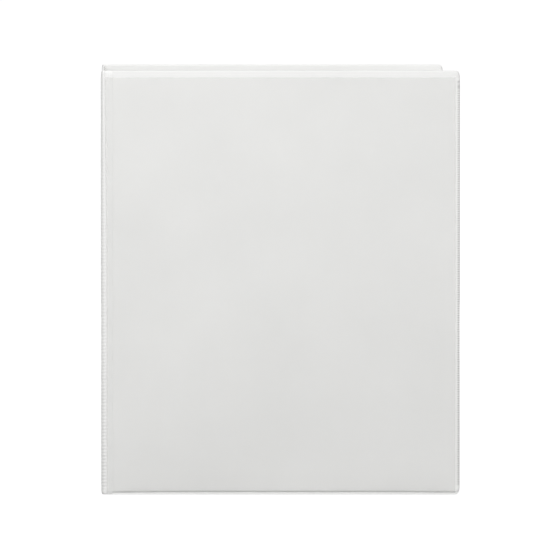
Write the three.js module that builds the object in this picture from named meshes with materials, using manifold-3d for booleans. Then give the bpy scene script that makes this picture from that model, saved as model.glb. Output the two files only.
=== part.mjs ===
// A closed presentation binder for US letter sheets, standing upright on its bottom edges.
// Three stiff panels of board welded into vinyl, two living hinges, and a three-ring mechanism
// riveted to the spine. Millimetres, +Z up, front cover towards -Y, spine towards -X.
// The origin is under the middle of the binder, on the surface that it stands on.
import * as THREE from 'three';
import { mergeVertices } from 'three/addons/utils/BufferGeometryUtils.js';
import Module from 'manifold-3d';

const wasm = await Module();
wasm.setup();

// Panels. The back cover is a little narrower than the front one.
const PANEL_HEIGHT = 297;
const FRONT_COVER_WIDTH = 242;
const BACK_COVER_WIDTH = 236;
const BINDER_THICKNESS = 46;
const FORE_CORNER_RADIUS = 4.5;
const HINGE_CORNER_RADIUS = 2;

// Layers of a panel, and the slack between them
const FILM_THICKNESS = 0.25;
const FILM_GAP = 0.05;
const SKIN_THICKNESS = 0.4;
const BOARD_THICKNESS = 2;
const BOARD_SLACK = 0.1;
const LINER_THICKNESS = 0.4;
const POCKET_THICKNESS = 0.25;

// Welded rim around a panel, narrow beside a hinge, and the slope from the rim up to the face
const WELD_WIDTH = 2.6;
const HINGE_WELD_WIDTH = 0.5;
const WELD_THICKNESS = 0.8;
const SLOPE_WIDTH = 0.8;
const BOARD_EDGE_SLACK = 0.2;

// Clear pockets
const FILM_MOUTH_DROP = 4.2;
const POCKET_HEIGHT = 118;
const POCKET_SIDE_MARGIN = 1;

// Living hinges
const GUTTER_WIDTH = 8;
const HINGE_GAP = 0.3;

// Ring mechanism: housing
const HOUSING_LENGTH = 262;
const HOUSING_WIDTH = 20;
const HOUSING_HEIGHT = 7;
const HOUSING_WALL = 0.8;
const HOUSING_SIDE_HEIGHT = 2.6;
const HOUSING_CROWN_WIDTH = 10;
const HOUSING_LIP = 1.9;
const SEAT_GAP = 0.1;

// Ring mechanism: blades and rings
const BLADE_THICKNESS = 0.8;
const BLADE_PIVOT_HEIGHT = 1.8;
const BLADE_SIDE_GAP = 0.3;
const BLADE_TILT_DEG = 5;
const BLADE_END_SETBACK = 5;
const RING_INNER_DIAMETER = 25.4;
const RING_WIRE_DIAMETER = 3;
const RING_SPACING = 108;
const RING_COUNT = 3;
const RING_DIP = 2.4;
const RING_TIP_GAP = 0.3;
const RING_FOOT_OFFSET = 6.6;
const RING_FOOT_GAP = 0.3;
const RING_SLOT_GAP = 0.5;
const RING_SLOT_INNER_REACH = 2.2;
const RING_SLOT_OUTER_REACH = 2.9;
const RING_SLOT_SILL = 0.3;

// Ring mechanism: rivets
const RIVET_SPACING = 184;
const RIVET_SHANK_DIAMETER = 4;
const RIVET_BACK_HEAD_DIAMETER = 9;
const RIVET_BACK_HEAD_THICKNESS = 0.8;
const RIVET_DOME_DIAMETER = 8;
const RIVET_DOME_HEIGHT = 1.2;
const RIVET_HOLE_GAP = 0.2;
const RIVET_BLADE_GAP = 1;

// Ring mechanism: triggers
const TRIGGER_PIVOT_HEIGHT = 3.2;
const TRIGGER_PIVOT_SETBACK = 1.5;
const TRIGGER_BARREL_DIAMETER = 2.4;
const TRIGGER_ARM_THICKNESS = 1.2;
const TRIGGER_ARM_LENGTH = 14;
const TRIGGER_NECK_WIDTH = 8.8;
const TRIGGER_NECK_LENGTH = 8;
const TRIGGER_PAD_START = 6.5;
const TRIGGER_PAD_WIDTH = 16;
const TRIGGER_LEAN_DEG = 40;

// Facets
const CORNER_STEPS = 5;
const WIRE_SIDES = 12;
const RING_STEPS = 22;
const FOOT_STEPS = 2;
const LEAST_CORNER_RADIUS = 0.4;
const ROUND_STEPS = 20;
const DOME_STEPS = 4;
const MERGE_DISTANCE = 1e-4;

// Places that follow from the sizes above
const DEPTH = {};
DEPTH.skinOuter = FILM_THICKNESS + FILM_GAP;
DEPTH.cavityOuter = DEPTH.skinOuter + SKIN_THICKNESS;
DEPTH.boardOuter = DEPTH.cavityOuter + BOARD_SLACK;
DEPTH.boardInner = DEPTH.boardOuter + BOARD_THICKNESS;
DEPTH.cavityInner = DEPTH.boardInner + BOARD_SLACK;
DEPTH.linerInner = DEPTH.cavityInner + LINER_THICKNESS;
DEPTH.weld = (DEPTH.skinOuter + DEPTH.linerInner) / 2;
DEPTH.pocketOuter = DEPTH.linerInner + FILM_GAP;
DEPTH.pocketInner = DEPTH.pocketOuter + POCKET_THICKNESS;

const FOLD_RADIUS = WELD_THICKNESS / 2;
const FOLD_CLEARANCE = DEPTH.weld + FOLD_RADIUS + HINGE_GAP;
const OVERALL_WIDTH = GUTTER_WIDTH + FRONT_COVER_WIDTH;
const LEFT_X = -OVERALL_WIDTH / 2;
const FRONT_Y = -BINDER_THICKNESS / 2;
const BACK_Y = BINDER_THICKNESS / 2;
const SPINE_WIDTH = BINDER_THICKNESS - FOLD_CLEARANCE - GUTTER_WIDTH;
const FACE_INSET = WELD_WIDTH + SLOPE_WIDTH;
const BOARD_INSET = SLOPE_WIDTH + BOARD_EDGE_SLACK;

const MID_Z = PANEL_HEIGHT / 2;
const MECHANISM_X = LEFT_X + DEPTH.linerInner + SEAT_GAP;
const BLADE_PIVOT_Y = HOUSING_WIDTH / 2 - HOUSING_WALL - BLADE_SIDE_GAP;
const WIRE_RADIUS = RING_WIRE_DIAMETER / 2;
const RING_RADIUS = RING_INNER_DIAMETER / 2 + WIRE_RADIUS;
const RING_CENTRE_HEIGHT = HOUSING_HEIGHT - RING_DIP + RING_INNER_DIAMETER / 2;

// Materials
const vinyl = new THREE.MeshStandardMaterial({ color: 0xf3f3f1, roughness: 0.45, metalness: 0 });
const liner = new THREE.MeshStandardMaterial({ color: 0xefefed, roughness: 0.55, metalness: 0 });
const film = new THREE.MeshStandardMaterial({
  color: 0xe4e4e1,
  roughness: 0.25,
  metalness: 0,
  transparent: true,
  opacity: 0.4,
});
const chipboard = new THREE.MeshStandardMaterial({ color: 0xa3967f, roughness: 0.9, metalness: 0 });
const nickel = new THREE.MeshStandardMaterial({ color: 0xc8c8c5, roughness: 0.25, metalness: 1 });
const springSteel = new THREE.MeshStandardMaterial({ color: 0x9c9c9a, roughness: 0.4, metalness: 1 });

// Booleans

function toManifold(geometry) {
  const bare = geometry.index ? geometry.toNonIndexed() : geometry.clone();
  bare.deleteAttribute('normal');
  bare.deleteAttribute('uv');
  const merged = mergeVertices(bare, MERGE_DISTANCE);
  return new wasm.Manifold(
    new wasm.Mesh({
      numProp: 3,
      vertProperties: merged.attributes.position.array,
      triVerts: new Uint32Array(merged.index.array),
    }),
  );
}

function fromManifold(body) {
  const mesh = body.getMesh();
  const geometry = new THREE.BufferGeometry();
  geometry.setAttribute('position', new THREE.BufferAttribute(mesh.vertProperties, 3));
  geometry.setIndex(new THREE.BufferAttribute(mesh.triVerts, 1));
  geometry.computeVertexNormals();
  return geometry;
}

function cut(geometry, cutters) {
  let body = toManifold(geometry);
  for (const cutter of cutters) {
    body = body.subtract(toManifold(cutter));
  }
  return fromManifold(body);
}

function join(geometries) {
  let body = toManifold(geometries[0]);
  for (const geometry of geometries.slice(1)) {
    body = body.add(toManifold(geometry));
  }
  return fromManifold(body);
}

// Flat outlines

// A panel's outline as points, counter-clockwise: its outer edge, or with the welds left off, and
// drawn in by an inset on every side. The near side of a panel is the low end of its width. Each
// outline has the same number of points.
function panelOutline(panel, withoutWelds, inset) {
  const share = withoutWelds ? 1 : 0;
  const low = share * panel.nearWeld + inset;
  const high = panel.width - share * panel.farWeld - inset;
  const bottom = share * WELD_WIDTH + inset;
  const top = PANEL_HEIGHT - bottom;
  const near = Math.max(panel.nearRadius - bottom, LEAST_CORNER_RADIUS);
  const far = Math.max(panel.farRadius - bottom, LEAST_CORNER_RADIUS);
  const corners = [
    { s: low + near, z: bottom + near, radius: near, start: Math.PI },
    { s: high - far, z: bottom + far, radius: far, start: 1.5 * Math.PI },
    { s: high - far, z: top - far, radius: far, start: 0 },
    { s: low + near, z: top - near, radius: near, start: 0.5 * Math.PI },
  ];
  const points = [];
  for (const corner of corners) {
    for (let i = 0; i <= CORNER_STEPS; i++) {
      const angle = corner.start + (i / CORNER_STEPS) * (Math.PI / 2);
      points.push([
        corner.s + corner.radius * Math.cos(angle),
        corner.z + corner.radius * Math.sin(angle),
      ]);
    }
  }
  return points;
}

// A solid through a stack of outlines with equal numbers of points. Each layer is an outline at
// a depth, and place turns (along, up, depth) into a point of the binder.
function layeredSolid(layers, place) {
  const count = layers[0].outline.length;
  const positions = [];
  for (const layer of layers) {
    for (const [s, z] of layer.outline) {
      const point = place(s, z, layer.depth);
      positions.push(point.x, point.y, point.z);
    }
  }
  const indices = [];
  for (let k = 0; k + 1 < layers.length; k++) {
    for (let i = 0; i < count; i++) {
      const a = k * count + i;
      const b = k * count + ((i + 1) % count);
      indices.push(a, b, b + count, a, b + count, a + count);
    }
  }
  const last = (layers.length - 1) * count;
  for (let i = 1; i + 1 < count; i++) {
    indices.push(0, i + 1, i, last, last + i, last + i + 1);
  }
  const geometry = new THREE.BufferGeometry();
  geometry.setAttribute('position', new THREE.Float32BufferAttribute(positions, 3));
  geometry.setIndex(indices);
  return facingOut(geometry);
}

// Turns every face round where the faces point inwards, as they do after a mirroring place.
function facingOut(geometry) {
  const position = geometry.attributes.position;
  const index = geometry.index.array;
  const [a, b, c] = [new THREE.Vector3(), new THREE.Vector3(), new THREE.Vector3()];
  let volume = 0;
  for (let i = 0; i < index.length; i += 3) {
    a.fromBufferAttribute(position, index[i]);
    b.fromBufferAttribute(position, index[i + 1]);
    c.fromBufferAttribute(position, index[i + 2]);
    volume += a.dot(b.cross(c));
  }
  if (volume < 0) {
    for (let i = 0; i < index.length; i += 3) {
      [index[i + 1], index[i + 2]] = [index[i + 2], index[i + 1]];
    }
  }
  return geometry;
}

// Panels

// Where a point of each panel lies: along the panel from its hinge side, up, and in from its
// outer face. The spine runs from the front hinge towards the back one.
const PLACES = {
  front: (s, z, depth) => new THREE.Vector3(LEFT_X + GUTTER_WIDTH + s, FRONT_Y + depth, z),
  back: (s, z, depth) => new THREE.Vector3(LEFT_X + FOLD_CLEARANCE + s, BACK_Y - depth, z),
  spine: (s, z, depth) => new THREE.Vector3(LEFT_X + depth, FRONT_Y + FOLD_CLEARANCE + s, z),
};

// The sheet on one side of a panel: a flat face, a slope and a thin welded rim, hollow where the
// board lies.
function panelSheet(panel, faceDepth) {
  const outward = Math.sign(faceDepth - DEPTH.weld);
  const rimDepth = DEPTH.weld + (outward * WELD_THICKNESS) / 2;
  const sheet = layeredSolid(
    [
      { outline: panelOutline(panel, false, 0), depth: DEPTH.weld },
      { outline: panelOutline(panel, false, 0), depth: rimDepth },
      { outline: panelOutline(panel, true, 0), depth: rimDepth },
      { outline: panelOutline(panel, true, SLOPE_WIDTH), depth: faceDepth },
    ],
    panel.place,
  );
  const hollow = boardPlate(panel, BOARD_INSET - BOARD_SLACK, DEPTH.cavityOuter, DEPTH.cavityInner);
  return cut(sheet, [hollow]);
}

function boardPlate(panel, inset, outerDepth, innerDepth) {
  const outline = panelOutline(panel, true, inset);
  return layeredSolid(
    [
      { outline, depth: outerDepth },
      { outline, depth: innerDepth },
    ],
    panel.place,
  );
}

// A rectangular plate on a panel, from low to high along it and from bottom to top.
function squarePlate(panel, low, high, bottom, top, outerDepth, innerDepth) {
  const outline = [
    [low, bottom],
    [high, bottom],
    [high, top],
    [low, top],
  ];
  return layeredSolid(
    [
      { outline, depth: outerDepth },
      { outline, depth: innerDepth },
    ],
    panel.place,
  );
}

function clearOverlay(panel) {
  return squarePlate(
    panel,
    panel.nearWeld + SLOPE_WIDTH,
    panel.width - panel.farWeld - SLOPE_WIDTH,
    FACE_INSET,
    PANEL_HEIGHT - FILM_MOUTH_DROP,
    0,
    FILM_THICKNESS,
  );
}

function innerPocket(panel) {
  return squarePlate(
    panel,
    panel.nearWeld + SLOPE_WIDTH + POCKET_SIDE_MARGIN,
    panel.width - panel.farWeld - SLOPE_WIDTH - POCKET_SIDE_MARGIN,
    FACE_INSET,
    FACE_INSET + POCKET_HEIGHT,
    DEPTH.pocketOuter,
    DEPTH.pocketInner,
  );
}

// A living hinge: a flat strip of welded vinyl that ends in a round fold. The strip reaches from
// the fold across the gutter to the welded rim of the panel that it lies beside.
function hingeStrip(foldX, foldY, towards) {
  const shape = new THREE.Shape();
  const length = GUTTER_WIDTH - DEPTH.weld - HINGE_GAP;
  const turn = towards.angle();
  const across = new THREE.Vector2(-towards.y, towards.x).multiplyScalar(FOLD_RADIUS);
  const far = towards.clone().multiplyScalar(length);
  shape.absarc(foldX, foldY, FOLD_RADIUS, turn + Math.PI / 2, turn + 1.5 * Math.PI, false);
  shape.lineTo(foldX + far.x - across.x, foldY + far.y - across.y);
  shape.lineTo(foldX + far.x + across.x, foldY + far.y + across.y);
  shape.closePath();
  return upright(shape, 0, PANEL_HEIGHT);
}

// A circle as a polygon with a set number of sides.
function roundShape(radius, sides) {
  const points = [];
  for (let i = 0; i < sides; i++) {
    const angle = (i / sides) * 2 * Math.PI;
    points.push(new THREE.Vector2(radius * Math.cos(angle), radius * Math.sin(angle)));
  }
  return new THREE.Shape(points);
}

// A shape of the ground plan, drawn up from one height to another.
function upright(shape, bottom, top) {
  const geometry = new THREE.ExtrudeGeometry(shape, {
    depth: top - bottom,
    bevelEnabled: false,
    curveSegments: CORNER_STEPS,
  });
  geometry.translate(0, 0, bottom);
  return geometry;
}

// Ring mechanism

// A round bar along X, from one place to another.
function barAlongX(radius, fromX, toX, y, z) {
  const geometry = new THREE.CylinderGeometry(radius, radius, toX - fromX, ROUND_STEPS);
  geometry.rotateZ(-Math.PI / 2);
  geometry.translate((fromX + toX) / 2, y, z);
  return geometry;
}

function ringHeights() {
  const middle = (RING_COUNT - 1) / 2;
  return Array.from({ length: RING_COUNT }, (_, i) => MID_Z + (middle - i) * RING_SPACING);
}

function rivetHeights() {
  return [MID_Z + RIVET_SPACING / 2, MID_Z - RIVET_SPACING / 2];
}

// A sheet-steel channel with sloping shoulders and lips turned in under the blades.
function ringHousing() {
  const half = HOUSING_WIDTH / 2;
  const crown = HOUSING_CROWN_WIDTH / 2;
  const inner = half - HOUSING_WALL;
  const ceiling = HOUSING_HEIGHT - HOUSING_WALL;
  const halfProfile = [
    [0, half - HOUSING_LIP],
    [0, half],
    [HOUSING_SIDE_HEIGHT, half],
    [HOUSING_HEIGHT, crown],
  ];
  const halfInside = [
    [ceiling, crown - HOUSING_WALL / 2],
    [HOUSING_SIDE_HEIGHT - HOUSING_WALL / 4, inner],
    [HOUSING_WALL, inner],
    [HOUSING_WALL, half - HOUSING_LIP],
  ];
  const mirrored = (points) => points.map(([h, y]) => [h, -y]).reverse();
  const outline = [
    ...halfProfile,
    ...mirrored(halfProfile),
    ...mirrored(halfInside),
    ...halfInside,
  ];
  const shape = new THREE.Shape(outline.map(([h, y]) => new THREE.Vector2(MECHANISM_X + h, y)));
  const channel = upright(shape, MID_Z - HOUSING_LENGTH / 2, MID_Z + HOUSING_LENGTH / 2);
  return cut(channel, [...ringSlots(), ...housingRivetHoles()]);
}

function ringSlots() {
  const low = RING_FOOT_OFFSET - RING_SLOT_INNER_REACH;
  const high = RING_FOOT_OFFSET + RING_SLOT_OUTER_REACH;
  const bottom = HOUSING_SIDE_HEIGHT + RING_SLOT_SILL;
  const top = HOUSING_HEIGHT + HOUSING_WALL;
  const slots = [];
  for (const z of ringHeights()) {
    for (const side of [-1, 1]) {
      const slot = new THREE.BoxGeometry(
        top - bottom,
        high - low,
        RING_WIRE_DIAMETER + 2 * RING_SLOT_GAP,
      );
      slot.translate(MECHANISM_X + (bottom + top) / 2, (side * (low + high)) / 2, z);
      slots.push(slot);
    }
  }
  return slots;
}

function housingRivetHoles() {
  const radius = RIVET_SHANK_DIAMETER / 2 + RIVET_HOLE_GAP;
  const fromX = MECHANISM_X + HOUSING_HEIGHT - 2 * HOUSING_WALL;
  const toX = MECHANISM_X + HOUSING_HEIGHT + HOUSING_WALL;
  return rivetHeights().map((z) => barAlongX(radius, fromX, toX, 0, z));
}

// One of the two flat springs inside the housing. It rocks on its outer edge, and at rest its
// inner edge is tipped down towards the spine.
function blade(side) {
  const tilt = THREE.MathUtils.degToRad(BLADE_TILT_DEG);
  const inward = new THREE.Vector2(-Math.sin(tilt), -side * Math.cos(tilt));
  const upward = new THREE.Vector2(Math.cos(tilt), -side * Math.sin(tilt));
  const length = (BLADE_PIVOT_Y - RING_TIP_GAP / 2) / Math.cos(tilt);
  const pivot = new THREE.Vector2(MECHANISM_X + BLADE_PIVOT_HEIGHT, side * BLADE_PIVOT_Y);
  const corner = (along, up) =>
    pivot
      .clone()
      .addScaledVector(inward, along)
      .addScaledVector(upward, (up * BLADE_THICKNESS) / 2);
  const shape = new THREE.Shape([
    corner(0, -1),
    corner(length - BLADE_THICKNESS * Math.sin(tilt), -1),
    corner(length - BLADE_THICKNESS * Math.sin(tilt), 1),
    corner(0, 1),
  ]);
  const reach = HOUSING_LENGTH / 2 - BLADE_END_SETBACK;
  const strip = upright(shape, MID_Z - reach, MID_Z + reach);
  const radius = RIVET_SHANK_DIAMETER / 2 + RIVET_BLADE_GAP;
  const notches = rivetHeights().map((z) =>
    barAlongX(radius, MECHANISM_X - HOUSING_WALL, MECHANISM_X + HOUSING_HEIGHT, 0, z),
  );
  return cut(strip, notches);
}

// Half of a round ring: an arc from its tip to the housing's shoulder, and a straight foot that
// stands on the blade.
function ringHalf(side, z) {
  const centreX = MECHANISM_X + RING_CENTRE_HEIGHT;
  const start = Math.asin(RING_TIP_GAP / 2 / RING_RADIUS);
  const end = Math.PI - Math.asin(RING_FOOT_OFFSET / RING_RADIUS);
  const points = [];
  for (let i = 0; i <= RING_STEPS; i++) {
    const angle = start + ((end - start) * i) / RING_STEPS;
    points.push(
      new THREE.Vector3(
        centreX + RING_RADIUS * Math.cos(angle),
        side * RING_RADIUS * Math.sin(angle),
        z,
      ),
    );
  }
  const tilt = THREE.MathUtils.degToRad(BLADE_TILT_DEG);
  const bladeTop =
    BLADE_PIVOT_HEIGHT +
    BLADE_THICKNESS / 2 -
    (BLADE_PIVOT_Y - RING_FOOT_OFFSET) * Math.tan(tilt);
  const footX = MECHANISM_X + bladeTop + RING_FOOT_GAP;
  const elbowX = points[points.length - 1].x;
  for (let i = 1; i <= FOOT_STEPS; i++) {
    const x = elbowX + ((footX - elbowX) * i) / FOOT_STEPS;
    points.push(new THREE.Vector3(x, side * RING_FOOT_OFFSET, z));
  }
  return new THREE.ExtrudeGeometry(roundShape(WIRE_RADIUS, WIRE_SIDES), {
    steps: RING_STEPS + FOOT_STEPS,
    bevelEnabled: false,
    extrudePath: new THREE.CatmullRomCurve3(points),
  });
}

// A rivet from a flat head sunk in the spine board to a dome on the housing's crown.
function rivet(z) {
  const shank = RIVET_SHANK_DIAMETER / 2;
  const backHead = RIVET_BACK_HEAD_DIAMETER / 2;
  const dome = RIVET_DOME_DIAMETER / 2;
  const headX = LEFT_X + DEPTH.boardOuter;
  const domeSeat = MECHANISM_X + HOUSING_HEIGHT + SEAT_GAP - headX;
  const profile = [
    new THREE.Vector2(0, 0),
    new THREE.Vector2(backHead, 0),
    new THREE.Vector2(backHead, RIVET_BACK_HEAD_THICKNESS),
    new THREE.Vector2(shank, RIVET_BACK_HEAD_THICKNESS),
    new THREE.Vector2(shank, domeSeat),
  ];
  for (let i = 0; i <= DOME_STEPS; i++) {
    const angle = (i / DOME_STEPS) * (Math.PI / 2);
    profile.push(
      new THREE.Vector2(
        i === DOME_STEPS ? 0 : dome * Math.cos(angle),
        domeSeat + RIVET_DOME_HEIGHT * Math.sin(angle),
      ),
    );
  }
  const geometry = new THREE.LatheGeometry(profile, ROUND_STEPS);
  geometry.rotateZ(-Math.PI / 2);
  geometry.translate(headX, 0, z);
  return geometry;
}

function boardRivetHoles() {
  const shank = RIVET_SHANK_DIAMETER / 2 + RIVET_HOLE_GAP;
  const head = RIVET_BACK_HEAD_DIAMETER / 2 + RIVET_HOLE_GAP;
  const outerX = LEFT_X + DEPTH.skinOuter;
  const sinkX = LEFT_X + DEPTH.boardOuter + RIVET_BACK_HEAD_THICKNESS + RIVET_HOLE_GAP;
  return rivetHeights().flatMap((z) => [
    barAlongX(shank, outerX, MECHANISM_X + HOUSING_WALL, 0, z),
    barAlongX(head, outerX, sinkX, 0, z),
  ]);
}

function linerRivetHoles() {
  const shank = RIVET_SHANK_DIAMETER / 2 + RIVET_HOLE_GAP;
  return rivetHeights().map((z) =>
    barAlongX(shank, LEFT_X + DEPTH.weld, MECHANISM_X + HOUSING_WALL, 0, z),
  );
}

// How far from the middle the inside of the housing's shoulder lies at a height.
function housingInsideReach(height) {
  const crown = HOUSING_CROWN_WIDTH / 2 - HOUSING_WALL / 2;
  const side = HOUSING_WIDTH / 2 - HOUSING_WALL;
  const foot = HOUSING_SIDE_HEIGHT - HOUSING_WALL / 4;
  const share = (height - foot) / (HOUSING_HEIGHT - HOUSING_WALL - foot);
  return side - share * (side - crown);
}

// A lever at one end of the housing: a barrel that turns between the shoulders, a neck, and a
// wide pad for the thumb. The end is +1 for the top lever and -1 for the bottom one.
function trigger(end) {
  const lean = THREE.MathUtils.degToRad(TRIGGER_LEAN_DEG);
  const barrelRadius = TRIGGER_BARREL_DIAMETER / 2;
  const barrelWidth =
    2 * (housingInsideReach(TRIGGER_PIVOT_HEIGHT + barrelRadius) - BLADE_SIDE_GAP);
  const half = TRIGGER_ARM_THICKNESS / 2;
  const neckShape = new THREE.Shape([
    new THREE.Vector2(0, -half),
    new THREE.Vector2(TRIGGER_NECK_LENGTH, -half),
    new THREE.Vector2(TRIGGER_NECK_LENGTH, half),
    new THREE.Vector2(0, half),
  ]);
  const padShape = new THREE.Shape();
  padShape.moveTo(TRIGGER_PAD_START, half);
  padShape.lineTo(TRIGGER_PAD_START, -half);
  padShape.lineTo(TRIGGER_ARM_LENGTH - half, -half);
  padShape.absarc(TRIGGER_ARM_LENGTH - half, 0, half, -Math.PI / 2, Math.PI / 2, false);
  const part = (shape, width) => {
    const geometry = new THREE.ExtrudeGeometry(shape, {
      depth: width,
      bevelEnabled: false,
      curveSegments: CORNER_STEPS,
    });
    geometry.translate(0, 0, -width / 2);
    return geometry;
  };
  const lever = join([
    part(roundShape(barrelRadius, WIRE_SIDES), barrelWidth),
    part(neckShape, TRIGGER_NECK_WIDTH),
    part(padShape, TRIGGER_PAD_WIDTH),
  ]);
  lever.rotateZ(lean);
  lever.rotateX(Math.PI / 2);
  if (end < 0) {
    lever.rotateX(Math.PI);
  }
  lever.translate(
    MECHANISM_X + TRIGGER_PIVOT_HEIGHT,
    0,
    MID_Z + end * (HOUSING_LENGTH / 2 - TRIGGER_PIVOT_SETBACK),
  );
  return lever;
}

// The assembly

const group = new THREE.Group();

function add(name, geometry, material) {
  const mesh = new THREE.Mesh(geometry, material);
  mesh.name = name;
  group.add(mesh);
}

const front = {
  width: FRONT_COVER_WIDTH,
  nearRadius: HINGE_CORNER_RADIUS,
  farRadius: FORE_CORNER_RADIUS,
  nearWeld: HINGE_WELD_WIDTH,
  farWeld: WELD_WIDTH,
  place: PLACES.front,
};
const back = { ...front, width: BACK_COVER_WIDTH, place: PLACES.back };
const spine = {
  width: SPINE_WIDTH,
  nearRadius: HINGE_CORNER_RADIUS,
  farRadius: HINGE_CORNER_RADIUS,
  nearWeld: HINGE_WELD_WIDTH,
  farWeld: HINGE_WELD_WIDTH,
  place: PLACES.spine,
};

for (const [name, panel] of Object.entries({ front, back })) {
  add(name + '_board', boardPlate(panel, BOARD_INSET, DEPTH.boardOuter, DEPTH.boardInner), chipboard);
  add(name + '_outer_vinyl', panelSheet(panel, DEPTH.skinOuter), vinyl);
  add(name + '_inner_liner', panelSheet(panel, DEPTH.linerInner), liner);
  add(name + '_clear_overlay', clearOverlay(panel), film);
  add(name + '_inner_pocket', innerPocket(panel), film);
}

const spineBoard = boardPlate(spine, BOARD_INSET, DEPTH.boardOuter, DEPTH.boardInner);
add('spine_board', cut(spineBoard, boardRivetHoles()), chipboard);
add('spine_outer_vinyl', panelSheet(spine, DEPTH.skinOuter), vinyl);
add('spine_inner_liner', cut(panelSheet(spine, DEPTH.linerInner), linerRivetHoles()), liner);
add('spine_clear_overlay', clearOverlay(spine), film);

const foldX = LEFT_X + DEPTH.weld;
add('front_hinge_strip', hingeStrip(foldX, FRONT_Y + DEPTH.weld, new THREE.Vector2(1, 0)), vinyl);
add('back_hinge_strip', hingeStrip(foldX, BACK_Y - DEPTH.weld, new THREE.Vector2(0, -1)), vinyl);

add('ring_housing', ringHousing(), nickel);
rivetHeights().forEach((z, i) => add(['rivet_top', 'rivet_bottom'][i], rivet(z), nickel));
add('trigger_top', trigger(1), nickel);
add('trigger_bottom', trigger(-1), nickel);

for (const [name, side] of [['front', -1], ['back', 1]]) {
  add('blade_' + name, blade(side), springSteel);
  ringHeights().forEach((z, i) => add(`ring_${name}_${i + 1}`, ringHalf(side, z), nickel));
}

export default group;
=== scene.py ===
import math
from dataclasses import dataclass

import bmesh
import bpy
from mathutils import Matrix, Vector


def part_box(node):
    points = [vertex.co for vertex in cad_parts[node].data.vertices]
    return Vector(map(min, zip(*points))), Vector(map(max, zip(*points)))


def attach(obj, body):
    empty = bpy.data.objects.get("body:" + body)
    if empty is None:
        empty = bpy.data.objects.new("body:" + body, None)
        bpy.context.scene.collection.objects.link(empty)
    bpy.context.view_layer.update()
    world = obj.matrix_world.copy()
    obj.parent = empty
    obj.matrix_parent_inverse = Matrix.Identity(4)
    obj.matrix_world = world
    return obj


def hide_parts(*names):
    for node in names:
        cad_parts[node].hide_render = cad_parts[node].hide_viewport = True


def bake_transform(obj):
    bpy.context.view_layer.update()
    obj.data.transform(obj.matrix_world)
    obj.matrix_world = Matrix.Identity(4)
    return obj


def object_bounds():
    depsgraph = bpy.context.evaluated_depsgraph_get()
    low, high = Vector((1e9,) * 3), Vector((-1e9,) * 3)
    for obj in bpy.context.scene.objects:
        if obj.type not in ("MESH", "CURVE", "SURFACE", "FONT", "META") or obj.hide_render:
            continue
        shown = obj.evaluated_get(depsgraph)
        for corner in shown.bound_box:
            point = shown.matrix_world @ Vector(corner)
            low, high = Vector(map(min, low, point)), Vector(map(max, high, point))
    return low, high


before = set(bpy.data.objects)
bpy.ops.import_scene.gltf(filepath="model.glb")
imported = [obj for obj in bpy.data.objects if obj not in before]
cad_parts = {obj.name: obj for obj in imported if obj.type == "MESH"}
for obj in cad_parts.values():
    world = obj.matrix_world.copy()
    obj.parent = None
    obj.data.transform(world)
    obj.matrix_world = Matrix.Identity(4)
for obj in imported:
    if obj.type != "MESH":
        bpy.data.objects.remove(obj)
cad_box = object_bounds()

MM = 0.001

# Layers, as depths in from a panel's outer face
FRONT_FACE_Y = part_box("front_clear_overlay")[0].y
SKIN_DEPTH = (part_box("front_outer_vinyl")[0].y - FRONT_FACE_Y) / MM
WELD_DEPTH = (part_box("front_outer_vinyl")[1].y - FRONT_FACE_Y) / MM
SHEET_THICKNESS = 0.4
FACE_RISE = WELD_DEPTH - SKIN_DEPTH
SHEET_SHARE = (FACE_RISE - SHEET_THICKNESS) / FACE_RISE

# How far a welded sheet stands off the middle of its weld, at distances in from a panel's edge.
# The face stands at 1.
FORE_EDGE = [
    (0, 0), (0.08, 0.22), (0.3, 0.42), (0.7, 0.58), (1.2, 0.69), (2.0, 0.78), (2.8, 0.84),
    (3.2, 0.91), (3.8, 0.955), (5.0, 0.985), (6.5, 1),
]
TOP_EDGE = [
    (0, 0), (0.08, 0.28), (0.3, 0.5), (0.8, 0.62), (1.4, 0.66), (1.8, 0.675), (2.4, 0.72),
    (3.2, 0.775), (4.0, 0.815), (5.0, 0.855), (6.5, 0.905), (9.0, 0.96), (13.0, 1),
]
BOTTOM_EDGE = [
    (0, 0), (0.05, 0.28), (0.2, 0.44), (0.6, 0.46), (1.15, 0.4), (1.45, 0.24), (1.65, 0.12),
    (1.8, 0.26), (2.05, 0.6), (2.7, 0.84), (3.6, 0.92), (5.0, 0.97), (7.5, 1),
]
HINGE_EDGE = [
    (0, 0), (0.1, 0.46), (0.3, 0.73), (1.0, 0.79), (2.0, 0.85), (3.2, 0.91), (4.6, 0.96), (6.5, 1),
]

# The space inside a sheet opens between these distances in from its edges
CAVITY_FROM, CAVITY_TO = 2.8, 3.3
HINGE_CAVITY_FROM, HINGE_CAVITY_TO = 0.75, 1.2

# The bottom weld lies lower toward both ends of a panel, from a share of the way out from its
# middle. This sets in over the lowest stretch of the panel.
BOTTOM_ARCH = 0.3
ARCH_FROM = 0.65
ARCH_SETS_IN = 1.0
BOTTOM_GROOVE = 1.7

# Ribs across the fore edge: rounded at the edge, full up to a distance in, and gone at their
# reach. At the top they have a share of their depth.
FORE_RIB_PITCH = 1.62
FORE_RIB_DEPTH = 0.42
FORE_RIB_ROUND, FORE_RIB_FULL, FORE_RIB_REACH = 0.3, 0.8, 2.4
FORE_RIB_TOP_SHARE = 0.7
RIBBED_MARGIN = 0.3
RIB_END_MARGIN = 6.5

# Slow ripples of a face: turn per millimetre along it and up, and phase
FACE_WAVES = [(0.041, 0.017, 0.6), (-0.023, 0.047, 2.1)]
WAVE_DEPTH = 0.05
WAVE_MARGIN, WAVE_FADE = 4.0, 22.0

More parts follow.
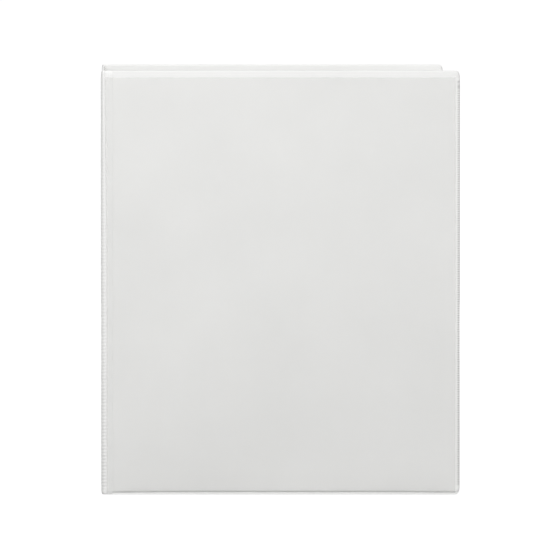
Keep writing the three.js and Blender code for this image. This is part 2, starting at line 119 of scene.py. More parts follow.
# Painted shade on the vinyl, from 0 to 1, and how far it reaches: a line in the bottom groove, the
# strip above the film's mouth, an outline at the fore edge that deepens lower down, and the rib
# valleys
GROOVE_SHADE, GROOVE_SHADE_REACH = 0.14, 0.4
MOUTH_SHADE, MOUTH_SHADE_REACH = 0.14, 0.8
EDGE_SHADE, EDGE_SHADE_LOWER, EDGE_SHADE_REACH = 0.22, 0.2, 0.7
RIB_SHADE_PER_MM = 2.6

# Corners of a panel, along it and up
FORE_CORNER = (2.8, 5.2)
HINGE_CORNER = (1.2, 1.2)

# Films. They thin toward their edges, and in an overlay each column counts as one step in.
FILM_THICKNESS = 0.25
FILM_EDGE_THICKNESS = 0.08
FILM_TAPER = 1.2
FILM_EDGE_ROUND = 0.2
FILM_SEAT = 0.04
FILM_COLUMN_EDGE = 0.25
FILM_HINGE_EDGE = 0.5
FILM_FORE_EDGE = 2.9
FILM_BOTTOM = 1.65
FILM_BOTTOM_STEPS = [0, 0.1, 0.25, 0.5, 0.8, 1.1, 1.4, 1.8, 2.3, 3.0, 4.0, 5.2]
FILM_MOUTH_STEPS = [0, 0.06, 0.3, 0.7, 1.2, 2]
FILM_ARCH_FADE = 12.0
GUTTER_COLUMNS = 18
MOUTH_LIFT, MOUTH_REACH, MOUTH_DROP = 0.14, 4.0, 0.45
MOUTH_ROUND = 0.05

# Inner pockets
POCKET_SEAM, SEAM_REACH, SEAM_PRESS = 1.6, 0.8, 0.6
POCKET_SWELL, POCKET_SWELL_REACH = 0.35, 60.0
POCKET_EDGE_STEPS = [0, 0.1, 0.4, 0.8, 1.2, 1.6, 2.0, 2.4, 3.2, 6]
POCKET_MOUTH_STEPS = [0, 0.06, 0.4, 1.5, 4]
POCKET_COLUMNS = 14

# Steps of the meshes
COARSE_STEP = 6.0
COLUMN_STEP = 14.0
EDGE_GAP = 0.5
RIB_SAMPLES = 6
SMOOTH_ANGLE = 32


def clamp(x):
    return max(0.0, min(1.0, x))


def smooth(x):
    x = clamp(x)
    return x * x * (3 - 2 * x)


def round_over(x):
    """A quarter ellipse: 0 at 0, and 1 from 1 on."""
    return math.sqrt(1 - (1 - clamp(x)) ** 2)


def bump(x):
    """One soft hump between -1 and 1."""
    return (0.5 + 0.5 * math.cos(math.pi * x)) if abs(x) < 1 else 0.0


def valley(z, pitch):
    """1 in the valleys between ribs and 0 on the ribs."""
    return (0.5 - 0.5 * math.cos(2 * math.pi * z / pitch)) ** 1.5


# Panels


@dataclass
class Panel:
    """A stiff panel. A point of it is named by s along it from its hinge side, z up, and depth in
    from its outer face, all in millimetres."""

    name: str
    body: str
    origin: Vector
    along: Vector
    inward: Vector
    width: float
    far_edge: list
    far_corner: tuple
    height = (cad_box[1].z - cad_box[0].z) / MM

    def point(self, s, z, depth):
        up = Vector((0, 0, z * MM))
        return self.origin + self.along * (s * MM) + self.inward * (depth * MM) + up

    def rounded(self, s, z):
        """Where a point of the square panel goes so that the corners come out round."""
        near = s < self.width / 2
        low = z < self.height / 2
        across = s if near else self.width - s
        upward = z if low else self.height - z
        reach, rise = HINGE_CORNER if near else self.far_corner
        if across < reach and upward < rise:
            a, b = across / reach, upward / rise
            inset = min(a, b)
            if inset >= 1:
                return s, z
            share = (1 - max(a, b)) / (1 - inset)
            turn = share * math.pi / 4 if a <= b else math.pi / 2 - share * math.pi / 4
            across = reach * (1 - (1 - inset) * math.cos(turn))
            upward = rise * (1 - (1 - inset) * math.sin(turn))
        return (
            across if near else self.width - across,
            upward if low else self.height - upward,
        )


def node_width(node, axis):
    low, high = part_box(node)
    return (high[axis] - low[axis]) / MM


X, Y, Z = Vector((1, 0, 0)), Vector((0, 1, 0)), Vector((0, 0, 1))
front = Panel(
    "front",
    "front_cover",
    Vector((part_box("front_outer_vinyl")[0].x, FRONT_FACE_Y, 0)),
    X,
    Y,
    node_width("front_outer_vinyl", 0),
    FORE_EDGE,
    FORE_CORNER,
)
back = Panel(
    "back",
    "back_cover",
    Vector((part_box("back_outer_vinyl")[0].x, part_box("back_clear_overlay")[1].y, 0)),
    X,
    -Y,
    node_width("back_outer_vinyl", 0),
    FORE_EDGE,
    FORE_CORNER,
)
spine = Panel(
    "spine",
    "spine",
    Vector((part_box("spine_clear_overlay")[0].x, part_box("spine_outer_vinyl")[0].y, 0)),
    Y,
    X,
    node_width("spine_outer_vinyl", 1),
    HINGE_EDGE,
    HINGE_CORNER,
)


# Meshes


def sheet_faces(columns, kept):
    """Faces between neighbouring columns of vertex numbers. A column has a vertex in every row or
    only in the kept rows, and a face between two unlike columns takes in all that lie beside it."""
    faces = []
    for left, right in zip(columns, columns[1:]):
        for low, high in zip(kept, kept[1:]):
            a = [left[r] for r in range(low, high + 1) if r in left]
            b = [right[r] for r in range(low, high + 1) if r in right]
            if len(a) == len(b):
                for i in range(len(a) - 1):
                    faces.append((a[i], b[i], b[i + 1], a[i + 1]))
            else:
                faces.append((*b, *reversed(a)))
    return faces


def no_painted_shade(c, z):
    """No painted shade, for a sheet that takes none."""
    return 0.0


def closed_sheet(count, fine, rows, kept, top, under, soiled=no_painted_shade):
    """A thin closed body from two surfaces that meet all round. top(c, z) and under(c, z) give a
    point of column c at height z, and the columns in fine have every row. The last function, given
    c and z, tells how much painted shade the top surface takes there, from 0 to 1."""
    points, marks, top_columns, under_columns = [], [], [], []

    def add(point, mark=0.0):
        points.append(point)
        marks.append(mark)
        return len(points) - 1

    for c in range(count):
        used = range(len(rows)) if c in fine else kept
        top_columns.append({r: add(top(c, rows[r]), soiled(c, rows[r])) for r in used})
    for c in range(count):
        if c in (0, count - 1):
            under_columns.append(top_columns[c])
            continue
        column = {r: add(under(c, rows[r])) for r in kept[1:-1]}
        column[kept[0]] = top_columns[c][kept[0]]
        column[kept[-1]] = top_columns[c][kept[-1]]
        under_columns.append(column)
    faces = sheet_faces(top_columns, kept)
    faces += [tuple(reversed(face)) for face in sheet_faces(under_columns, kept)]
    return points, faces, marks


def row_heights(low, high, low_steps, high_steps, pitch=None):
    """Heights of a sheet's rows, and the numbers of those that a plain column has."""
    bottom = [low + t for t in low_steps]
    top = [high - t for t in reversed(high_steps)]
    start, end = bottom[-1] + EDGE_GAP, top[0] - EDGE_GAP
    if pitch is None:
        count = max(2, round((end - start) / COARSE_STEP))
        middle = [start + (end - start) * i / count for i in range(count + 1)]
        rows = bottom + middle + top
        return rows, list(range(len(rows)))
    step = pitch / RIB_SAMPLES
    count = int((end - start) / step)
    middle = [start + (end - start) * i / count for i in range(count + 1)]
    stride = round(COARSE_STEP / step)
    rows = bottom + middle + top
    first, last = len(bottom), len(bottom) + count
    kept = [r for r in range(len(rows)) if r < first or r >= last or (r - first) % stride == 0]
    return rows, kept


def edge_steps(profile):
    """Distances in from an edge at which its profile is drawn."""
    marks = [t for t, _ in profile]
    steps = [marks[0]]
    for low, high in zip(marks, marks[1:]):
        steps += [(low + high) / 2, high]
    return steps


def closed_mesh(name, points, faces, marks=None):
    """A mesh with all its faces turned outward. marks holds the painted shade at its points."""
    mesh = bpy.data.meshes.new(name)
    mesh.from_pydata(points, [], faces)
    if marks:
        mesh.attributes.new("soil", "FLOAT", "POINT").data.foreach_set("value", marks)
    work = bmesh.new()
    work.from_mesh(mesh)
    bmesh.ops.recalc_face_normals(work, faces=work.faces)
    work.to_mesh(mesh)
    work.free()
    return mesh


def add_object(name, data):
    made = bpy.data.objects.new(name, data)
    bpy.context.scene.collection.objects.link(made)
    return made


def add_piece(name, points, faces, material, body=None, nodes=(), marks=None):
    """A smooth-shaded mesh that stands for some CAD nodes and rides on a body."""
    mesh = closed_mesh(name, points, faces, marks)
    return dress(name, mesh, material, body, nodes)


def dress(name, mesh, material, body, nodes):
    """A piece made of a finished mesh, with its material, the nodes it stands for and its body."""
    mesh.polygons.foreach_set("use_smooth", [True] * len(mesh.polygons))
    mesh.set_sharp_from_angle(angle=math.radians(SMOOTH_ANGLE))
    mesh.materials.clear()
    mesh.materials.append(material)
    piece = add_object(name, mesh)
    if nodes:
        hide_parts(*nodes)
    if body:
        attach(piece, body)
    return piece


# Materials


def set_inputs(node, **values):
    """Sets inputs of a node by their names, which have _ in place of a space."""
    for name, value in values.items():
        node.inputs[name.replace("_", " ")].default_value = value
    return node


def new_material(name, **values):
    """A material with one Principled shader, its node tree and the shader."""
    material = bpy.data.materials.new(name)
    material.use_nodes = True
    tree = material.node_tree
    return material, tree, set_inputs(tree.nodes["Principled BSDF"], **values)


def object_coordinates(tree, stretch=(1, 1, 1)):
    place = tree.nodes.new("ShaderNodeTexCoord")
    mapping = set_inputs(tree.nodes.new("ShaderNodeMapping"), Scale=stretch)
    tree.links.new(place.outputs["Object"], mapping.inputs["Vector"])
    return mapping.outputs["Vector"]


def noise(tree, vector, scale, detail=3.0, roughness=0.5):
    node = tree.nodes.new("ShaderNodeTexNoise")
    set_inputs(node, Scale=scale, Detail=detail, Roughness=roughness)
    tree.links.new(vector, node.inputs["Vector"])
    return node.outputs["Fac"]


def ranged(tree, value, low, high, from_low=0.3, from_high=0.7):
    node = tree.nodes.new("ShaderNodeMapRange")
    set_inputs(node, From_Min=from_low, From_Max=from_high, To_Min=low, To_Max=high)
    tree.links.new(value, node.inputs["Value"])
    return node.outputs["Result"]


def tinted(tree, value, dark, light, from_low=0.3, from_high=0.7):
    node = tree.nodes.new("ShaderNodeValToRGB")
    node.color_ramp.elements[0].position = from_low
    node.color_ramp.elements[0].color = (*dark, 1)
    node.color_ramp.elements[1].position = from_high
    node.color_ramp.elements[1].color = (*light, 1)
    tree.links.new(value, node.inputs["Fac"])
    return node.outputs["Color"]


def bumped(tree, shader, height, distance, strength=1.0, under=None):
    node = set_inputs(tree.nodes.new("ShaderNodeBump"), Distance=distance, Strength=strength)
    tree.links.new(height, node.inputs["Height"])
    if under is not None:
        tree.links.new(under, node.inputs["Normal"])
    tree.links.new(node.outputs["Normal"], shader.inputs["Normal"])
    return node.outputs["Normal"]


# Grey mixed into the vinyl's colour where shade is painted
PAINTED_SHADE_COLOR = (0.46, 0.46, 0.45)


def vinyl_material(name, dark, light, grain_scale, grain_height):
    """White vinyl: a fine pebbled grain over slow, shallow ripples, with shade painted into its
    colour from a point attribute.
    """
    material, tree, shader = new_material(name, IOR=1.5)
    vector = object_coordinates(tree)
    tone = noise(tree, vector, 22, detail=4)
    # Painted shade: a point attribute on the mesh mixes the grey into the colour
    soil = tree.nodes.new("ShaderNodeAttribute")
    soil.attribute_name = "soil"
    mix = tree.nodes.new("ShaderNodeMix")
    mix.data_type = "RGBA"
    mix.inputs["B"].default_value = (*PAINTED_SHADE_COLOR, 1)
    tree.links.new(soil.outputs["Fac"], mix.inputs["Factor"])
    tree.links.new(tinted(tree, tone, dark, light), mix.inputs["A"])
    tree.links.new(mix.outputs["Result"], shader.inputs["Base Color"])
    wear = noise(tree, vector, 65, detail=5, roughness=0.6)
    tree.links.new(ranged(tree, wear, 0.38, 0.52), shader.inputs["Roughness"])
    slow = noise(tree, vector, 35, detail=2)
    ripple = bumped(tree, shader, slow, distance=0.0004, strength=0.25)
    pebbles = tree.nodes.new("ShaderNodeTexVoronoi")
    pebbles.feature = "SMOOTH_F1"
    pebbles.inputs["Scale"].default_value = grain_scale
    tree.links.new(vector, pebbles.inputs["Vector"])
    bumped(tree, shader, pebbles.outputs["Distance"], grain_height, strength=0.6, under=ripple)
    return material


def film_material():
    """Clear overlay film: thin, semi-matte, with slow ripples that soften what it mirrors."""
    material, tree, shader = new_material("clear_film", IOR=1.46, Alpha=0.2)
    vector = object_coordinates(tree)
    haze = noise(tree, vector, 14, detail=5, roughness=0.6)
    tree.links.new(
        tinted(tree, haze, (0.84, 0.84, 0.83), (0.88, 0.88, 0.87)), shader.inputs["Base Color"]
    )
    tree.links.new(ranged(tree, haze, 0.26, 0.4), shader.inputs["Roughness"])
    slow, grain = noise(tree, vector, 9, detail=2), noise(tree, vector, 420, detail=2)
    ripple = bumped(tree, shader, slow, distance=0.0012, strength=0.3)
    bumped(tree, shader, grain, distance=0.00003, strength=0.4, under=ripple)
    return material


def chipboard_material():
    """Grey-brown pressed board, dull and finely fibrous."""
    material, tree, shader = new_material("pressed_board", Specular_IOR_Level=0.2)
    vector = object_coordinates(tree)
    fibres = noise(tree, vector, 600, detail=6, roughness=0.7)
    tree.links.new(
        tinted(tree, fibres, (0.25, 0.21, 0.15), (0.42, 0.37, 0.29)), shader.inputs["Base Color"]
    )
    tree.links.new(ranged(tree, fibres, 0.8, 0.95), shader.inputs["Roughness"])
    bumped(tree, shader, fibres, distance=0.00008, strength=0.6)
    return material


def metal_material(name, dark, light, smooth_low, smooth_high, stretch, scratch_height):
    """Steel with faint drawing lines and a roughness that varies over the surface."""
    material, tree, shader = new_material(name, Metallic=1.0)
    vector = object_coordinates(tree)
    cloud = noise(tree, vector, 90, detail=4)
    tree.links.new(tinted(tree, cloud, dark, light), shader.inputs["Base Color"])
    tree.links.new(ranged(tree, cloud, smooth_low, smooth_high), shader.inputs["Roughness"])
    lines = noise(tree, object_coordinates(tree, stretch), 900, detail=3)
    bumped(tree, shader, lines, scratch_height, strength=0.5)
    return material


VINYL = vinyl_material(
    "white_vinyl",
    dark=(0.84, 0.84, 0.83),
    light=(0.87, 0.87, 0.86),
    grain_scale=1500,
    grain_height=0.00004,
)
LINER = vinyl_material(
    "liner_vinyl",
    dark=(0.83, 0.83, 0.82),
    light=(0.86, 0.86, 0.85),
    grain_scale=1100,
    grain_height=0.00005,
)
FILM = film_material()
BOARD = chipboard_material()
NICKEL = metal_material(
    "nickel_plate",
    dark=(0.62, 0.61, 0.59),
    light=(0.70, 0.69, 0.67),
    smooth_low=0.16,
    smooth_high=0.28,
    stretch=(1, 1, 0.08),
    scratch_height=0.000006,
)
SPRING = metal_material(
    "spring_steel",
    dark=(0.42, 0.42, 0.42),
    light=(0.50, 0.50, 0.49),
    smooth_low=0.3,
    smooth_high=0.42,
    stretch=(1, 1, 0.02),
    scratch_height=0.00001,
)


# Hinge section


def through(controls, share):
    """A point at a share of the way along a smooth curve through control points."""
    last = len(controls) - 1
    k = min(int(share * last), last - 1)
    t = share * last - k
    p = [Vector(controls[max(0, min(last, k + i))]) for i in (-1, 0, 1, 2)]
    return 0.5 * (
        2 * p[1]
        + (p[2] - p[0]) * t
        + (2 * p[0] - 5 * p[1] + 4 * p[2] - p[3]) * t * t
        + (3 * p[1] - p[0] - 3 * p[2] + p[3]) * t * t * t
    )


# Section of a folded hinge in its corner: along the panel that has the gutter, and in from that
# panel's face. The outside runs from the other panel's rim, over the fold and three fading
# ridges, to the rim at the gutter's far end. The inside runs back under it.
FOLD_OUTSIDE = [
    (1.15, 3.4), (0.8, 3.0), (0.5, 2.6), (0.35, 2.15), (0.55, 1.75), (0.9, 1.38), (1.3, 1.0),
    (1.75, 0.7), (2.2, 0.62), (2.65, 0.76), (3.0, 0.9), (3.4, 0.8), (4.0, 0.68), (4.6, 0.72),
    (5.1, 0.78), (5.8, 0.7), (6.6, 0.74), (7.3, 0.7), (8.0, 0.7), (8.6, 1.3),
]
FOLD_INSIDE = [
    (1.15, 3.4), (1.5, 3.1), (1.8, 2.85), (2.0, 2.6), (2.15, 2.45), (2.3, 2.33), (2.4, 2.26),
    (2.5, 2.22), (2.6, 2.2), (2.75, 2.2), (3.0, 2.2), (3.4, 2.2), (4.0, 2.2), (4.6, 2.2),
    (5.1, 2.2), (5.8, 2.2), (6.6, 2.2), (7.3, 2.2), (8.0, 2.1), (8.6, 1.3),
]
FOLD_SPANS = len(FOLD_OUTSIDE) - 1
GUTTER = 8.0

# Shares of the section's length at the groove beside the bead and at the gutter's far end
GROOVE_SHARE = 10 / FOLD_SPANS
GUTTER_END_SHARE = 17.9 / FOLD_SPANS

# The groove lies farther along the lower down it is, down to a depth under the top. It takes with
# it the stretch of the section from where the drift starts to where it ends.
GROOVE_DRIFT, DRIFT_HEIGHT = 1.25, 150.0
DRIFT_START, DRIFT_FULL, DRIFT_END = 0.9, 3.0, 8.0


def fold_surface(controls, share, z):
    """A point of the fold's section at height z. The bead is slimmest at the top."""
    p = through(controls, share)
    drift = GROOVE_DRIFT * smooth((front.height - z) / DRIFT_HEIGHT)
    rising = smooth((p.x - DRIFT_START) / (DRIFT_FULL - DRIFT_START))
    falling = 1 - smooth((p.x - DRIFT_FULL) / (DRIFT_END - DRIFT_FULL))
    p.x += drift * rising * falling
    return p


# Panel sheets


def along_profile(profile, t):
    """A smooth curve through a profile's points."""
    if t >= profile[-1][0]:
        return profile[-1][1]
    k = 0
    while profile[k + 1][0] < t:
        k += 1

    def slope(i):
        if i in (0, len(profile) - 1):
            j = 1 if i == 0 else i
            return (profile[j][1] - profile[j - 1][1]) / (profile[j][0] - profile[j - 1][0])
        before, here, after = profile[i - 1 : i + 2]
        down = (here[1] - before[1]) / (here[0] - before[0])
        up = (after[1] - here[1]) / (after[0] - here[0])
        return 2 * down * up / (down + up) if down * up > 0 else 0.0

    (t0, v0), (t1, v1) = profile[k], profile[k + 1]
    span = t1 - t0
    u = (t - t0) / span
    rise = v0 * (1 + 2 * u) * (1 - u) ** 2 + v1 * u * u * (3 - 2 * u)
    return rise + span * (slope(k) * u * (1 - u) ** 2 - slope(k + 1) * u * u * (1 - u))


def arch(panel, s):
    """How much lower the bottom weld lies at s than halfway along the panel."""
    off_middle = abs(2 * s / panel.width - 1)
    return BOTTOM_ARCH * smooth((off_middle - ARCH_FROM) / (1 - ARCH_FROM))


def sheet_rise(panel, s, z):
    """How far a panel's sheet stands off the middle of its weld."""
    lowered = z + arch(panel, s) * clamp(z / ARCH_SETS_IN)
    return FACE_RISE * min(
        along_profile(HINGE_EDGE, s),
        along_profile(panel.far_edge, panel.width - s),
        along_profile(BOTTOM_EDGE, lowered),
        along_profile(TOP_EDGE, panel.height - z),
    )


def cavity_rise(panel, s, z):
    """The same for the sheet's inner side, which closes on the weld and clears the board."""
    hinge = smooth((s - HINGE_CAVITY_FROM) / (HINGE_CAVITY_TO - HINGE_CAVITY_FROM))
    far_from, far_to = CAVITY_FROM, CAVITY_TO
    if panel is spine:
        far_from, far_to = HINGE_CAVITY_FROM, HINGE_CAVITY_TO
    far = smooth((panel.width - s - far_from) / (far_to - far_from))
    level = min(z, panel.height - z)
    up = smooth((level - CAVITY_FROM) / (CAVITY_TO - CAVITY_FROM))
    return SHEET_SHARE * FACE_RISE * min(hinge, far, up)


def fore_ribs(panel, s, z):
    """Depth of the valleys pressed across the weld at the fore edge."""
    if panel is spine:
        return 0.0
    inside = min(z, panel.height - z) - RIB_END_MARGIN
    from_edge = panel.width - s
    fading = smooth((from_edge - FORE_RIB_FULL) / (FORE_RIB_REACH - FORE_RIB_FULL))
    window = round_over(from_edge / FORE_RIB_ROUND) * (1 - fading)
    strength = FORE_RIB_TOP_SHARE + (1 - FORE_RIB_TOP_SHARE) * (1 - z / panel.height)
    return FORE_RIB_DEPTH * strength * window * smooth(inside) * valley(z, FORE_RIB_PITCH)


def face_wave(panel, s, z):
    """Slow ripples, from 0 to 1, that die out at the edges of the panel."""
    edge = min(s, panel.width - s, z, panel.height - z)
    total = sum(math.sin(s * along + z * up + phase) for along, up, phase in FACE_WAVES)
    level = 0.5 + 0.5 * total / len(FACE_WAVES)
    return level * smooth((edge - WAVE_MARGIN) / WAVE_FADE)


def panel_columns(panel, low=0.0, high=None):
    """Places along a panel for a sheet's columns, and the number of those within the ribs' reach
    of the far edge."""
    high = panel.width if high is None else high
    near = [t for t in edge_steps(HINGE_EDGE) if t > low]
    far = [panel.width - t for t in reversed(edge_steps(panel.far_edge)) if panel.width - t < high]
    count = max(3, round((far[0] - near[-1]) / COLUMN_STEP))
    middle = [near[-1] + (far[0] - near[-1]) * i / count for i in range(1, count)]
    columns = [low] + near + middle + far + [high]
    ribbed = sum(1 for s in columns if panel.width - s < FORE_RIB_REACH + RIBBED_MARGIN)
    return columns, ribbed


def film_mouth(panel):
    """Height of the open top of a panel's overlay film, a little under the frame's film."""
    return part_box(panel.name + "_clear_overlay")[1].z / MM - MOUTH_DROP


def vinyl_sheet(panel, side):
    """The outer skin of a panel, at side 1, or its inner liner, at side -1."""
    columns, ribbed = panel_columns(panel)
    pitch = None if panel is spine else FORE_RIB_PITCH
    bottom_steps, top_steps = edge_steps(BOTTOM_EDGE), edge_steps(TOP_EDGE)
    rows, kept = row_heights(0, panel.height, bottom_steps, top_steps, pitch)
    fine = set() if pitch is None else set(range(len(columns) - ribbed, len(columns)))

    def top(c, z):
        s = columns[c]
        rise = sheet_rise(panel, s, z) - fore_ribs(panel, s, z)
        rise -= WAVE_DEPTH * face_wave(panel, s, z)
        return panel.point(*panel.rounded(s, z), WELD_DEPTH - side * max(rise, 0.0))

    def under(c, z):
        s = columns[c]
        return panel.point(*panel.rounded(s, z), WELD_DEPTH - side * cavity_rise(panel, s, z))

    outer = side > 0
    mouth = film_mouth(panel)

    def soiled(c, z):
        s = columns[c]
        # Painted shade: a dark line along the bottom weld groove
        over_groove = z + arch(panel, s) - BOTTOM_GROOVE
        groove = GROOVE_SHADE * bump(over_groove / GROOVE_SHADE_REACH)
        # Painted shade: the outer skin darker from just under the film's mouth up to the top edge
        above_mouth_shade = MOUTH_SHADE * smooth((z - mouth) / MOUTH_SHADE_REACH + 1) if outer else 0.0
        # Painted shade: a dark outline along the fore edge, stronger toward the bottom
        fore_edge_shade = 0.0 if panel is spine else 1 - smooth((panel.width - s) / EDGE_SHADE_REACH)
        fore_edge_shade *= EDGE_SHADE + EDGE_SHADE_LOWER * (1 - z / panel.height)
        # Painted shade in the valleys between the fore edge's ribs
        ribs = RIB_SHADE_PER_MM * fore_ribs(panel, s, z)
        return max(groove, above_mouth_shade, clamp(fore_edge_shade + ribs))

    points, faces, marks = closed_sheet(len(columns), fine, rows, kept, top, under, soiled)
    name = panel.name + ("_vinyl_skin" if outer else "_liner_sheet")
    node = panel.name + ("_outer_vinyl" if outer else "_inner_liner")
    material, slot = (VINYL, "vinyl") if outer else (LINER, "liner")
    return add_piece(name, points, faces, material, panel.body, [node], marks)


def film_body(rise, edge, mouth, z):
    """How far a film's outer and inner side stand off the weld. The film thins to a welded edge,
    and is cut square at its mouth."""
    inner = rise + FILM_SEAT
    flat = smooth(edge / FILM_TAPER)
    at_edge = min(round_over(edge / FILM_EDGE_ROUND), round_over((mouth - z) / MOUTH_ROUND))
    thickening = (FILM_THICKNESS - FILM_EDGE_THICKNESS - FILM_SEAT) * flat
    return inner + (FILM_EDGE_THICKNESS + thickening) * at_edge, inner


def gutter_film_columns(panel):
    """Columns of a panel's film that lie on the gutter beside it, as shares of the fold's section.
    The front cover has its gutter at its hinge side, the spine at its far side."""
    if panel is back:
        return []
    span = GUTTER_END_SHARE - GROOVE_SHARE
    return [GROOVE_SHARE + span * i / GUTTER_COLUMNS for i in range(GUTTER_COLUMNS + 1)]


def film_piece(panel, side, name, node, count, rows, kept, surface):
    """A film on a panel's outer side, at side 1, or inner side, at side -1. surface(c, z) tells
    how far along and up a point lies, and how far the film's two sides stand off the weld."""

    def top(c, z):
        s, up, outer, _ = surface(c, z)
        return panel.point(s, up, WELD_DEPTH - side * outer)

    def under(c, z):
        s, up, _, inner = surface(c, z)
        return panel.point(s, up, WELD_DEPTH - side * inner)

    points, faces, _ = closed_sheet(count, set(), rows, kept, top, under)
    name, node = panel.name + name, panel.name + node
    return add_piece(name, points, faces, FILM, panel.body, [node])


def overlay_film(panel):
    """The clear film over a panel, and over its gutter if it has one: welded down at the sides and
    the bottom, and open at the top."""
    mouth = film_mouth(panel)
    high = panel.width - (FILM_HINGE_EDGE if panel is spine else FILM_FORE_EDGE)
    plain, _ = panel_columns(panel, FILM_HINGE_EDGE, high)
    shares = gutter_film_columns(panel)
    columns = [(s, None) for s in plain]
    if panel is front:
        columns = [(None, share) for share in shares] + columns
    elif panel is spine:
        columns += [(None, share) for share in reversed(shares)]
    rows, kept = row_heights(FILM_BOTTOM, mouth, FILM_BOTTOM_STEPS, FILM_MOUTH_STEPS)

    def surface(c, z):
        s, share = columns[c]
        over_bottom = z - FILM_BOTTOM
        arched = 1 - smooth(over_bottom / FILM_ARCH_FADE)
        if share is None:
            sunk = z - arch(panel, s) * arched
            rise = sheet_rise(panel, s, sunk) - WAVE_DEPTH * face_wave(panel, s, z)
        else:
            sunk = z - BOTTOM_ARCH * arched
            p = fold_surface(FOLD_OUTSIDE, share, z)
            s = p.x - GUTTER if panel is front else panel.width + GUTTER - p.x
            rise = WELD_DEPTH - p.y
        edge = min(c, len(columns) - 1 - c) * FILM_COLUMN_EDGE
        rise += MOUTH_LIFT * smooth((z - mouth) / MOUTH_REACH + 1)
        outer, inner = film_body(rise, min(edge, over_bottom), mouth, z)
        return s, sunk, min(outer, WELD_DEPTH), inner

    count = len(columns)
    return film_piece(panel, 1, "_overlay_film", "_clear_overlay", count, rows, kept, surface)


def pocket_film(panel):
    """The clear pocket inside a cover: seams on three sides and a mouth at the top."""
    low_corner, high_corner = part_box(panel.name + "_inner_pocket")
    first = (low_corner.x - panel.origin.x) / MM
    last = (high_corner.x - panel.origin.x) / MM
    bottom, mouth = low_corner.z / MM, high_corner.z / MM
    steps = POCKET_EDGE_STEPS
    near, far = [first + t for t in steps], [last - t for t in reversed(steps)]
    span = far[0] - near[-1]
    middle = [near[-1] + span * i / POCKET_COLUMNS for i in range(1, POCKET_COLUMNS)]
    columns = near + middle + far
    rows, kept = row_heights(bottom, mouth, steps, POCKET_MOUTH_STEPS)

    def surface(c, z):
        s = columns[c]
        edge = min(s - first, last - s, z - bottom)
        upward = smooth((z - bottom) / (mouth - bottom))
        swell = POCKET_SWELL * smooth(edge / POCKET_SWELL_REACH) * upward
        outer, inner = film_body(sheet_rise(panel, s, z) + swell, edge, mouth, z)
        pressed = SEAM_PRESS * bump((edge - POCKET_SEAM) / SEAM_REACH)
        return s, z, inner + (outer - inner) * (1 - pressed), inner

    count = len(columns)
    return film_piece(panel, -1, "_pocket_film", "_inner_pocket", count, rows, kept, surface)


# Living hinges

FOLD_SUBSTEPS = 2
FOLD_END_ROUND = 2.6
FOLD_END_STEPS = [0, 0.1, 0.3, 0.6, 1.0, 1.5, 2.0, FOLD_END_ROUND]
HINGE_AXIS = WELD_DEPTH
BLEND_REACH = 0.75

# Ribs across the bead, between two shares of the section's length. At the top they have a share
# of their depth, and they set in over a stretch past the rounded ends.
HINGE_RIB_PITCH = 2.34
HINGE_RIB_DEPTH = 0.3
HINGE_RIB_TOP_SHARE = 0.2
HINGE_RIB_SETS_IN = 2.0
RIBBED_FROM, RIBBED_TO = 0.14, 0.56

# Painted shade on the bead's flank, in the groove beside it and in the rib valleys, with its reach
# along the section
FLANK_SHARE, FLANK_REACH, FLANK_SHADE = 0.26, 0.16, 0.2
GROOVE_REACH, FOLD_GROOVE_SHADE = 0.06, 0.3
FOLD_RIB_SHADE = 0.35


def hinge_fold(name, corner, along, inward, node):
    """A hinge's vinyl, from the first body's rim round the fold and over the gutter."""
    count = FOLD_SPANS * FOLD_SUBSTEPS + 1
    height = front.height
    rows, kept = row_heights(0, height, FOLD_END_STEPS, FOLD_END_STEPS, HINGE_RIB_PITCH)
    shares = [c / (count - 1) for c in range(count)]
    fine = {c for c, share in enumerate(shares) if RIBBED_FROM < share < RIBBED_TO}

    def place(p, z):
        return corner + along * (p.x * MM) + inward * (p.y * MM) + Z * (z * MM)

    def rib_cut(c, z):
        if c not in fine:
            return 0.0
        span = (shares[c] - RIBBED_FROM) / (RIBBED_TO - RIBBED_FROM)
        strength = HINGE_RIB_TOP_SHARE + (1 - HINGE_RIB_TOP_SHARE) * (1 - z / height)
        inside = smooth((min(z, height - z) - FOLD_END_ROUND) / HINGE_RIB_SETS_IN)
        return strength * math.sin(math.pi * span) * inside * valley(z, HINGE_RIB_PITCH)

    def sides(c, z):
        outside = fold_surface(FOLD_OUTSIDE, shares[c], z)
        inside = fold_surface(FOLD_INSIDE, shares[c], z)
        middle = (outside + inside) / 2
        return outside, inside, middle, round_over(min(z, height - z) / FOLD_END_ROUND)

    def top(c, z):
        outside, _, middle, fullness = sides(c, z)
        p = middle + (outside - middle) * fullness
        cut = HINGE_RIB_DEPTH * rib_cut(c, z)
        return place(p + (middle - p).normalized() * cut if cut else p, z)

    def under(c, z):
        _, inside, middle, fullness = sides(c, z)
        return place(middle + (inside - middle) * fullness, z)

    # Painted shade: the bead's flank facing away from the light, the groove beside it and the rib
    # valleys
    def soiled(c, z):
        flank = FLANK_SHADE * bump((shares[c] - FLANK_SHARE) / FLANK_REACH)
        groove = FOLD_GROOVE_SHADE * bump((shares[c] - GROOVE_SHARE) / GROOVE_REACH)
        return clamp(flank + groove + FOLD_RIB_SHADE * rib_cut(c, z))

    points, faces, marks = closed_sheet(count, fine, rows, kept, top, under, soiled)
    piece = add_piece(name, points, faces, VINYL, nodes=[node], marks=marks)
    middle = height / 2
    start = place(Vector((HINGE_AXIS, HINGE_AXIS + BLEND_REACH)), middle)
    end = place(Vector((HINGE_AXIS + BLEND_REACH, HINGE_AXIS)), middle)
    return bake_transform(piece)


# Ring mechanism

HOUSING_LOW, HOUSING_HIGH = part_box("ring_housing")
SEAT_X = HOUSING_LOW.x
RING_RADIUS = 14.2
WIRE_RADIUS = 1.5
FOOT_OFFSET = 6.6

